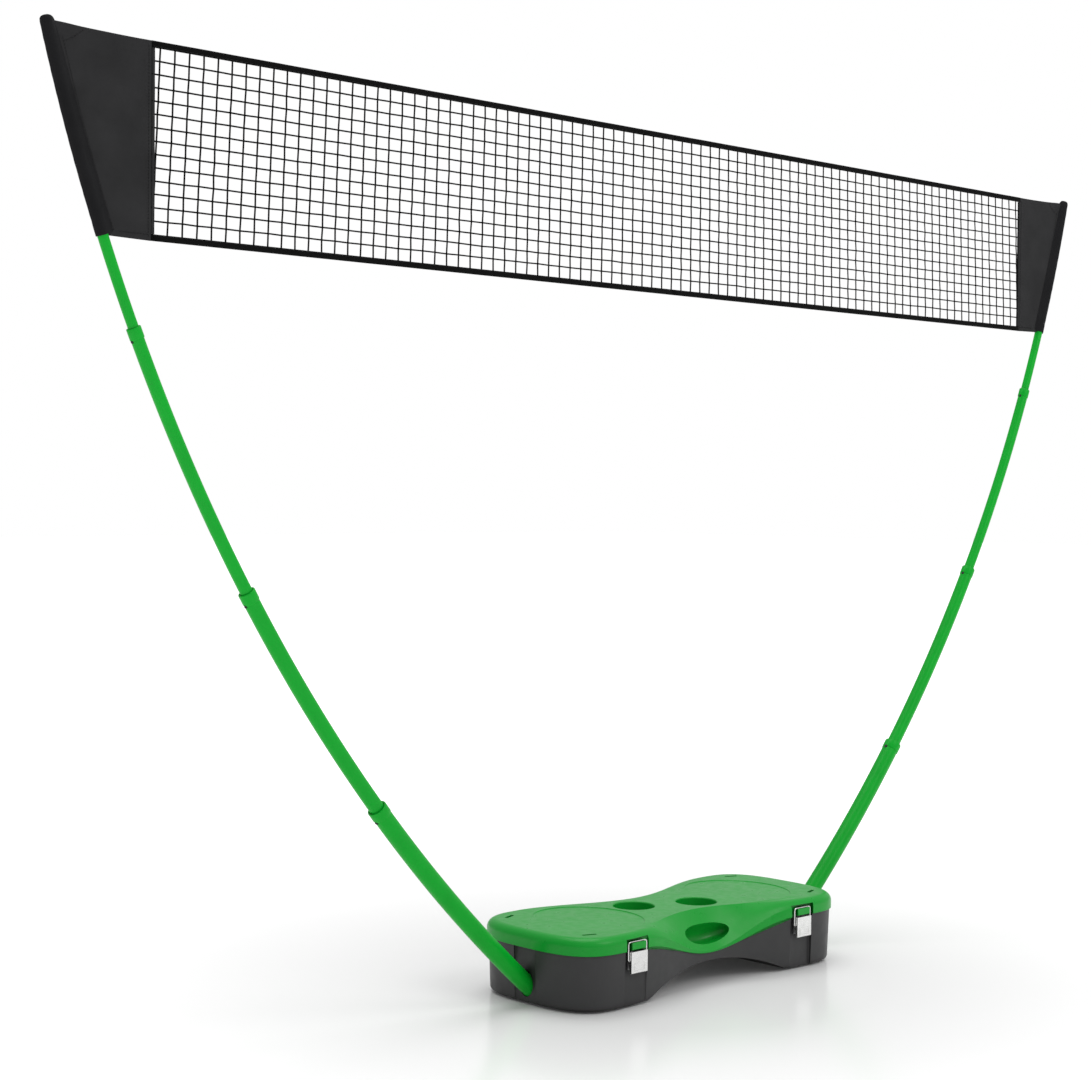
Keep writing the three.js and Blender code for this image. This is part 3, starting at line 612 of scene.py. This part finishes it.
def lid():
    body = make("lid_shell", *lid_outside(), LID)
    room = make("lid_room", *lid_inside(), LID)
    recesses = [latch_recess(s, WALL, LATCH["lid_y"], 10, LATCH["top"] + WALL) for s in SIDES.values()]
    carve(room, recesses, "DIFFERENCE")
    solid = body.copy()
    solid.data = body.data.copy()
    bpy.context.collection.objects.link(solid)
    combine(body, [room], "DIFFERENCE")
    bowl = make("bowl", *grip_bowl(WALL), LID)
    combine(bowl, [solid], "INTERSECT")
    combine(body, [bowl], "UNION")
    radius, under = CUP["radius"] + CUP["wall"], CUP["floor"] - CUP["wall"]
    well = lathe([(radius, under), (radius, HEIGHT - 1)], 72)
    carve(body, [moved(well, s * CUP["x"], -s * CUP["y"]) for s in SIDES.values()], "UNION")
    cuts = [grip_bowl(0)]
    added, bores = [], []
    for side in SIDES.values():
        cuts += [latch_recess(side, 0, LATCH["lid_y"], 10, LATCH["top"]), cup_cut(side), badge_cut(side)]
        reach = HINGE["lid"] / 2 + HINGE["tray"] + 2 * HINGE["gap"]
        cuts += [slot_cut(side, 1), slot_cut(side, -1), hinge_cut(side, HINGE["room"], reach)]
        x, half = side * HINGE["x"], HINGE["lid"] / 2
        added += knuckle(x - half, x + half, HINGE["z"], HINGE["z"] + 9) + [catch_block(side)]
        bores.append(pin_bore(side))
    carve(body, cuts, "DIFFERENCE")
    carve(body, added, "UNION")
    carve(body, bores, "DIFFERENCE")
    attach(crease(body), "lid")
    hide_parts("lid")


# ---------------------------------------------------------------- poles


def pole_section(label, i):
    """One tube of a pole with rolled ends and, below its top, a collar with a button hole."""
    start, end, outer, inner = POLE[i]
    side = SIDES[label]
    steps, edge = 44, 0.012
    profile = [(start, outer - 0.5), (start - edge, outer)]
    profile += [(lerp(start, end + COLLAR, k / steps), outer) for k in range(1, steps)]
    if i < 3:
        below = end + COLLAR
        profile += [(below, outer), (below - 0.006, outer + 0.7), (below - 0.02, outer + 1),
                    (end + 0.03, outer + 1), (end + 0.01, outer + 0.8), (end, outer + 0.4)]
    else:
        profile += [(end + edge, outer), (end, outer - 0.5)]
    profile += [(end, inner + 0.3), (end + edge, inner)]
    profile += [(lerp(end, start, k / steps), inner) for k in range(1, steps)]
    profile += [(start - edge, inner), (start, inner + 0.3)]
    verts, faces = loft([bow_ring(a, r, side) for a, r in profile], closed=True)
    body = make(f"tube_{label}_{i + 1}", verts, faces, PAINT)
    holes = []
    for j in ([i] if i < 3 else []) + ([i - 1] if i > 0 else []):
        radius = 1.6 + 0.18 * POLE[j + 1][3]
        centre, away = button_place(label, j + 1)
        turn = away.to_track_quat("Z", "Y").to_matrix()
        bore = lathe([(radius, 0), (radius, 30)], 24)
        holes.append(moved(turned(bore, turn), *centre))
    carve(body, holes, "DIFFERENCE")
    crease(body, 38)
    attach(body, "base" if i == 0 else f"{label}_{i + 1}")
    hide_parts(f"pole_{label}_{i + 1}")
    return body


def button_place(label, i):
    """Middle of the tube under snap button i, and the way the button faces, in millimetres."""
    angle = POLE[i - 1][1] + BUTTON_ANGLE
    side, a = SIDES[label], math.radians(angle)
    centre = arc_point(angle)
    centre.x *= -side
    return centre, Vector((-math.cos(a), 0, side * math.sin(a)))


def button_spring(label, i):
    """The leaf spring in the tube, a copy of the CAD spring baked in place."""
    cad = nodes[f"button_spring_{label}_{i}"]
    mesh = cad.data.copy()
    mesh.transform(cad.matrix_world)
    leaf = bpy.data.objects.new(f"leaf_{label}_{i}", mesh)
    bpy.context.collection.objects.link(leaf)
    centre, away = button_place(label, i)
    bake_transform(leaf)
    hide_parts(f"button_spring_{label}_{i}")


# ---------------------------------------------------------------- latch wires


def bend_path(corners, radius, steps=8):
    """A path through corners with rounded bends."""
    points = [Vector(corners[0])]
    for before, corner, after in zip(corners, corners[1:], corners[2:]):
        b, c, a = Vector(before), Vector(corner), Vector(after)
        reach = min(radius, (b - c).length * 0.6, (a - c).length * 0.45)
        p, q = c + (b - c).normalized() * reach, c + (a - c).normalized() * reach
        shares = [i / (steps - 1) for i in range(steps)]
        points += [(1 - t) ** 2 * p + 2 * t * (1 - t) * c + t * t * q for t in shares]
    return points + [Vector(corners[-1])]


def wire(points, radius, sides=16, up=(0, 1, 0)):
    """A round wire along points that lie in a plane square to up."""
    rings = []
    for i, p in enumerate(points):
        ahead = points[min(i + 1, len(points) - 1)] - points[max(i - 1, 0)]
        u = Vector(up)
        v = ahead.normalized().cross(u)
        rings.append([tuple(p + radius * (math.cos(t) * u + math.sin(t) * v))
                      for t in turns(sides)])
    return loft(rings)


def bail(label):
    """The wire loop from the lever up over the catch."""
    x0, w = SIDES[label] * LATCH["x"], BAIL["half"]
    low, top, foot = BAIL["z"], BAIL["top"], BAIL["foot"]
    corners = [(x0 + x, BAIL["y"], z) for x, z in
               ((-foot, low), (-w, low), (-w, top), (w, top), (w, low), (foot, low))]
    body = make(f"bail_wire_{label}", *wire(bend_path(corners, BAIL["bend"]), BAIL["wire"]), NICKEL)
    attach(body, f"bail_{label}")
    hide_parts(f"latch_bail_{label}")


# ---------------------------------------------------------------- net


def panel_top_z(x):
    """The panel's upper edge, which sweeps up from the tape to the pole's tip."""
    t = (x + NET_HALF) / (TIP_X + NET_HALF)
    return NET_TOP - 0.5 + (TIP_Z - 2.5 - NET_TOP) * t ** 3


def end_panel(label):
    """The fabric end: two layers of cloth from the tunnel to the mesh, with hems and tension folds."""
    side = SIDES[label]
    rows, cols = 44, 26
    front, back = [], []
    for i in range(rows + 1):
        v = i / rows
        angle = lerp(HEM, PANEL_TOP + 0.05, v)
        start = arc_point(angle) + Vector((TUNNEL * 0.4 * math.cos(math.radians(angle)), 0, 0))
        for j in range(cols + 1):
            u = j / cols
            x = lerp(start.x, -NET_HALF - 0.4, u)
            end_z = lerp(NET_BOTTOM, NET_TOP, v)
            z = lerp(start.z, end_z, u)
            if v > 0.8:
                z = lerp(z, min(z, panel_top_z(x)), (v - 0.8) / 0.2)
            pull = math.exp(-((1 - v) * 6 + u * 1.2)) * math.sin(u * 9 + v * 6)
            slack = (0.5 * math.sin(3.2 * u + 2 * v) + 1.1 * pull) * math.sin(math.pi * u)
            hem = 0.45 if v < 0.055 or v > 0.95 or u > 0.93 else 0
            half = 0.55 + hem
            front.append((-side * x, slack - half, z))
            back.append((-side * x, slack + half, z))
    count = cols + 1
    faces = []
    total = len(front)
    for i in range(rows):
        for j in range(cols):
            a = i * count + j
            quad = (a, a + 1, a + 1 + count, a + count)
            faces += [quad, tuple(total + k for k in reversed(quad))]
    rim = [(0, j) for j in range(cols)] + [(i, cols) for i in range(rows)]
    rim += [(rows, j) for j in range(cols, 0, -1)] + [(i, 0) for i in range(rows, 0, -1)]
    ids = [i * count + j for i, j in rim]
    for a, b in zip(ids, ids[1:] + ids[:1]):
        faces.append((b, a, total + a, total + b))
    sheet = make(f"panel_sheet_{label}", front + back, faces, PANEL)
    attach(crease(sheet, 50), f"{label}_4")
    return sheet


def teardrop(angle, radius, tail, side, steps=26):
    """The tunnel's section: round on the pole, drawn together on the net side."""
    a = math.radians(angle)
    centre, inward, across = arc_point(angle), Vector((math.cos(a), 0, math.sin(a))), Vector((0, 1, 0))
    open_half = math.acos(radius / tail)
    points = []
    for i in range(steps + 1):
        t = open_half + (2 * math.pi - 2 * open_half) * i / steps
        points.append(centre + radius * (math.cos(t) * inward + math.sin(t) * across))
    first, last = points[0], points[-1]
    tip = centre + tail * inward
    points += [last.lerp(tip, 0.35), last.lerp(tip, 0.7), tip - 0.5 * across, tip + 0.5 * across]
    points += [first.lerp(tip, 0.7), first.lerp(tip, 0.35)]
    return [(-side * p.x, p.y, p.z) for p in points]


def tunnel(label):
    """The pocket that slips over the pole, open below and closed at the tip."""
    side = SIDES[label]
    rings = []
    steps = 40
    for k in range(steps + 1):
        angle = lerp(HEM, PANEL_TOP + 0.1, k / steps)
        wrinkle = 0.25 * math.sin(k * 1.9) + 0.15 * math.sin(k * 3.1 + 1)
        hem = 0.4 if k < 3 else 0
        tail = lerp(19, 13, (k / steps) ** 4) + wrinkle
        rings.append(teardrop(angle, TUNNEL - 0.6 + wrinkle * 0.5 + hem, tail, side))
    for past, radius, tail in ((0.02, 9.0, 11.5), (-0.03, 7.4, 9), (-0.06, 4, 5)):
        rings.append(teardrop(PANEL_TOP + past, radius, tail, side))
    bore = [lerp(PANEL_TOP + 0.12, HEM, k / 24) for k in range(25)]
    inner = [teardrop(angle, TUNNEL_BORE, 11.6, side) for angle in bore]
    body = make(f"panel_tunnel_{label}", *loft(rings + inner), SHADED_TUNNEL_FABRIC)
    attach(crease(body, 50), f"{label}_4")
    return body


def fold_section(depth, half, wall, steps=10):
    """A strip folded in two, as (distance from its open edge, y), once round its outline."""
    def leaf(r):
        arc = [math.pi / 2 - math.pi * i / steps for i in range(steps + 1)]
        return [(depth - half + r * math.cos(t), r * math.sin(t)) for t in arc]
    outside, inside = leaf(half), leaf(half - wall)
    mouth = [(0, half - 0.2), (0, wall - half), (0, half - wall), (0, 0.2 - half)]
    return [mouth[0], *outside, mouth[3], mouth[1], *inside[::-1], mouth[2]]


def tape(name, z, up, x0, x1):
    """Webbing folded over an edge of the mesh, gently rippled by the tension in the strings."""
    rings = []
    for k in range(61):
        x = lerp(x0, x1, k / 60)
        ripple = 0.18 * math.sin(x * 0.05) + 0.1 * math.sin(x * 0.13 + 1)
        rings.append([(x, y + ripple, z + up * (TAPE - a)) for a, y in fold_section(TAPE, 2.0, 0.8)])
    return make(name, *loft(rings), WEBBING)


def dash(p, q, width, push):
    """One stitch between two points: a low thread lying on the cloth, on the side push points to."""
    p, q, n = Vector(p), Vector(q), Vector(push)
    along = (q - p).normalized()
    wide = along.cross(n).normalized() * width
    top = [p.lerp(q, 0.2) + n * 0.55, p.lerp(q, 0.8) + n * 0.55]
    ring = [[tuple(c - wide), tuple(c + n * k), tuple(c + wide), tuple(c - n * 0.3)]
            for c, k in ((p, 0.05), (top[0] - n * 0.2, 0.35), (top[1] - n * 0.2, 0.35), (q, 0.05))]
    return loft(ring)


def stitches(name, points, lift, pitch=5.0, length=3.6, width=0.4):
    """Rows of stitches at lift from the middle on both faces, along a path given as (x, z)."""
    shapes = []
    for (x0, z0), (x1, z1) in zip(points, points[1:]):
        span = math.hypot(x1 - x0, z1 - z0)
        count = max(1, round(span / pitch))
        for k in range(count):
            a, b = k / count, (k + length / pitch) / count
            for face in (-1, 1):
                p = (lerp(x0, x1, a), face * lift, lerp(z0, z1, a))
                q = (lerp(x0, x1, b), face * lift, lerp(z0, z1, b))
                shapes.append(dash(p, q, width, (0, face, 0)))
    return make(name, *merged(shapes), THREAD)


def string_path(points, radius, sides=6):
    """A string along points in the net's plane."""
    rings = []
    for i, p in enumerate(points):
        ahead = (points[min(i + 1, len(points) - 1)] - points[max(i - 1, 0)]).normalized()
        v = ahead.cross(Vector((0, 1, 0))).normalized()
        rings.append([tuple(p + radius * (math.cos(t) * Vector((0, 1, 0)) + math.sin(t) * v))
                      for t in turns(sides)])
    return loft(rings)


JITTER = rng.normal(0, 0.22, (COLUMNS + 1, ROWS + 1, 2))


def crossing(i, j):
    """Where upright i crosses level j, with the small unevenness of hand-hung mesh."""
    z0, z1 = NET_BOTTOM + TAPE - 4, NET_TOP - TAPE + 4
    v = j / ROWS
    reach = NET_HALF - END_GAP
    x = lerp(-reach, reach, (i - 1) / (COLUMNS - 2))
    if i in (0, COLUMNS):
        x = math.copysign(NET_HALF, i - 1)
    inner = NET_BOTTOM + TAPE + v * (NET_TOP - NET_BOTTOM - 2 * TAPE)
    lean = -x / NET_HALF * LEAN * (v - 0.5) if 0 < i < COLUMNS else 0
    z = z0 if j == 0 else z1 if j == ROWS else inner
    wobble = JITTER[i, j] * (0 < j < ROWS) * (0 < i < COLUMNS)
    return Vector((x + lean + wobble[0], 0, z + wobble[1]))


def weave(i, j):
    """1 or -1, turn and turn about: the strings stand further apart at every other crossing."""
    return (1 if j % 2 else -1) * (1 if i % 2 else -1)


def mesh_half(label):
    """The strings and knots of one half of the net."""
    first, last = (0, COLUMNS // 2) if label == "left" else (COLUMNS // 2, COLUMNS)
    lift = Vector((0, STRING * 0.55, 0))
    shapes = []
    uprights = range(1, last + 1) if label == "left" else range(first + 1, COLUMNS)
    for i in uprights:
        path = [crossing(i, j) + lift * weave(i, j) * 0.4 + lift * 0.5 for j in range(ROWS + 1)]
        shapes.append(string_path(path, STRING))
    for j in range(1, ROWS):
        path = [crossing(i, j) - lift * weave(i, j) * 0.4 - lift * 0.5 for i in range(first, last + 1)]
        shapes.append(string_path(path, STRING))
        for i in uprights:
            shapes.append(knot(crossing(i, j), STRING * 1.5))
    return make(f"net_mesh_{label}", *merged(shapes), TWINE)


def knot(p, r):
    """A flattened lump of twine where two strings are tied."""
    rings = []
    for s, z in ((0.35, -0.9), (0.9, -0.45), (1.0, 0.1), (0.85, 0.55), (0.3, 0.95)):
        rings.append([(p.x + r * s * math.cos(t), p.y + r * s * math.sin(t), p.z + r * z)
                      for t in turns(7)])
    return loft(rings)


def binding(label):
    """The strip folded over each end of the mesh."""
    side = SIDES[label]
    rings = []
    for k in range(31):
        z = lerp(NET_BOTTOM + TAPE + 0.3, NET_TOP - TAPE - 0.3, k / 30)
        wave = 0.15 * math.sin(k * 1.3)
        section = fold_section(BINDING, 1.9, 0.7)
        rings.append([(side * (NET_HALF - BINDING + a), y + wave, z) for a, y in section])
    return make(f"binding_{label}", *loft(rings), PANEL)


def net():
    """Tapes, bindings, mesh and stitching, built in two halves that meet in the middle."""
    for label, side in SIDES.items():
        x0, x1 = sorted((0, side * NET_HALF))
        top = tape(f"top_tape_{label}", NET_TOP, -1, x0, x1)
        bottom = tape(f"bottom_tape_{label}", NET_BOTTOM, 1, x0, x1)
        seams = []
        for name, z in (("top", NET_TOP - 8.3), ("bottom", NET_BOTTOM + 8.3)):
            line = [(x0 + 3, z), (x1 - 3, z)]
            seams.append(stitches(f"{name}_tape_stitches_{label}", line, 2.0, 9, 6, 0.35))
        strip = binding(label)
        cloth = mesh_half(label)
        for piece in (top, bottom, strip, cloth, *seams):
            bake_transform(piece)
        if label == "left":
            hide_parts("net_top_tape")
            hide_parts("net_bottom_tape")
            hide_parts("net_upright_strings", "net_level_strings")
        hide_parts(f"net_binding_{label}")


def panel_seams(label):
    """Stitching along the mesh, the bottom hem, the tunnel and the top corner."""
    side = SIDES[label]
    lines = {}
    lines["mesh"] = [(-side * (-NET_HALF - 5), z) for z in (NET_BOTTOM + 6, NET_TOP - 6)]
    lines["foot"] = [(-side * x, NET_BOTTOM + 9) for x in (-NET_HALF - 6, -1178)]
    along = [arc_point(lerp(HEM - 0.1, PANEL_TOP + 0.5, k / 12)) for k in range(13)]
    lines["tunnel"] = [(-side * (p.x + 20), p.z + 3) for p in along]
    corner = arc_point(PANEL_TOP + 0.62) + Vector((20, 0, 2))
    shares = (0, 0.25, 0.5, 0.75, 1)
    lines["corner"] = [(-side * (corner.x + 34 * t), corner.z + 22 * t ** 1.4) for t in shares]
    for name, line in lines.items():
        row = stitches(f"panel_{name}_stitches_{label}", line, 1.05)
        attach(row, f"{label}_4")


# ---------------------------------------------------------------- stage, light and camera


def studio():
    """White to the camera; to the part, a soft box that is brighter above and to the right."""
    world = bpy.data.worlds.new("studio")
    bpy.context.scene.world = world
    world.use_nodes = True
    tree = world.node_tree
    sky = tree.nodes["Background"]
    sky.inputs["Color"].default_value = (1, 1, 1, 1)
    way = tree.nodes.new("ShaderNodeTexCoord").outputs["Generated"]
    slope = node(tree, "ShaderNodeVectorMath", operation="DOT_PRODUCT")
    slope.inputs[1].default_value = (0.16, -0.06, 0.24)
    tree.links.new(way, slope.inputs[0])
    soft = node(tree, "ShaderNodeMath", operation="ADD")
    soft.inputs[1].default_value = 0.48
    tree.links.new(slope.outputs["Value"], soft.inputs[0])
    seen = tree.nodes.new("ShaderNodeLightPath").outputs["Is Camera Ray"]
    either = node(tree, "ShaderNodeMath", operation="MAXIMUM")
    tree.links.new(seen, either.inputs[0])
    tree.links.new(soft.outputs[0], either.inputs[1])
    tree.links.new(either.outputs[0], sky.inputs["Strength"])
    far = 30000
    corners = [(-far, -far, 0), (far, -far, 0), (far, far, 0), (-far, far, 0)]
    floor = make("floor", corners, [(0, 1, 2, 3)], STAGE, smooth=False)
    lamp("key", (1.4, -3.6, 3.6), (0, 0, 0.3), size=2.2, power=45)
    lamp("top", (0.3, 0.6, 4.4), (0, 0, 0), size=3.0, power=75)


def lamp(name, place, target, size, power):
    data = bpy.data.lights.new(name, "AREA")
    data.size, data.energy = size, power
    made = bpy.data.objects.new(name, data)
    made.location = place
    made.rotation_euler = (Vector(target) - Vector(place)).to_track_quat("-Z", "Y").to_euler()
    bpy.context.collection.objects.link(made)


def stage_material():
    """A pale glossy table that glows more with distance, so that it merges with the backdrop."""
    made, tree, shader, place = base_material("stage", (0.9, 0.9, 0.9), 0.2, Specular_IOR_Level=0.5,
                                              Emission_Color=(1, 1, 1, 1))
    reach = node(tree, "ShaderNodeVectorMath", operation="LENGTH")
    tree.links.new(place, reach.inputs[0])
    glow = remap(tree, reach.outputs["Value"], 0.02, 0.7, 0.4, 2.4)
    tree.links.new(glow, shader.inputs["Emission Strength"])
    drift = remap(tree, noise(tree, place, 2, 2), 0, 1)
    tint(tree, shader, drift, (0.895, 0.895, 0.895), (0.905, 0.905, 0.905))
    return made


STAGE = stage_material()

# Place in metres, angles in degrees, lens in mm on a 36 mm sensor.
CAMERA = dict(place=(-2.8199, -2.6427, 0.8953), yaw=43.471, pitch=-1.345, roll=0.504, lens=68.77)


def camera():
    """The view that was solved from the photograph."""
    yaw, pitch, roll = (math.radians(CAMERA[k]) for k in ("yaw", "pitch", "roll"))
    level = Vector((math.sin(yaw), math.cos(yaw), 0))
    forward = level * math.cos(pitch) + Vector((0, 0, math.sin(pitch)))
    right = Vector((math.cos(yaw), -math.sin(yaw), 0))
    up = right.cross(forward)
    turned_right = right * math.cos(roll) + up * math.sin(roll)
    turned_up = up * math.cos(roll) - right * math.sin(roll)
    data = bpy.data.cameras.new("camera")
    data.lens, data.sensor_width, data.sensor_fit = CAMERA["lens"], 36, "HORIZONTAL"
    made = bpy.data.objects.new("camera", data)
    basis = Matrix((turned_right, turned_up, -forward)).transposed().to_4x4()
    made.matrix_world = Matrix.Translation(CAMERA["place"]) @ basis
    bpy.context.collection.objects.link(made)
    bpy.context.scene.camera = made


# ---------------------------------------------------------------- CAD pieces that are kept


def dress_cad_pieces():
    """Materials and softened edges for the CAD meshes that are kept."""
    for name, cad in nodes.items():
        for start, material in NODE_MATERIALS.items():
            if name.startswith(start):
                cad.data.materials.clear()
                cad.data.materials.append(material)
                edge = cad.modifiers.new("soft_edges", "BEVEL")
                edge.width = 0.00025
                edge.segments = 2
                edge.limit_method = "ANGLE"
                edge.angle_limit = math.radians(40)


# ---------------------------------------------------------------- build

camera()
studio()
bpy.context.scene.view_settings.view_transform = "Standard"

dress_cad_pieces()
tray()
lid()
for label in SIDES:
    tubes = [pole_section(label, i) for i in range(4)]
    for i in (1, 2, 3):
        button_spring(label, i)
    bail(label)
    sheet = end_panel(label)
    pocket = tunnel(label)
    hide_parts(f"net_end_panel_{label}")
    panel_seams(label)
net()
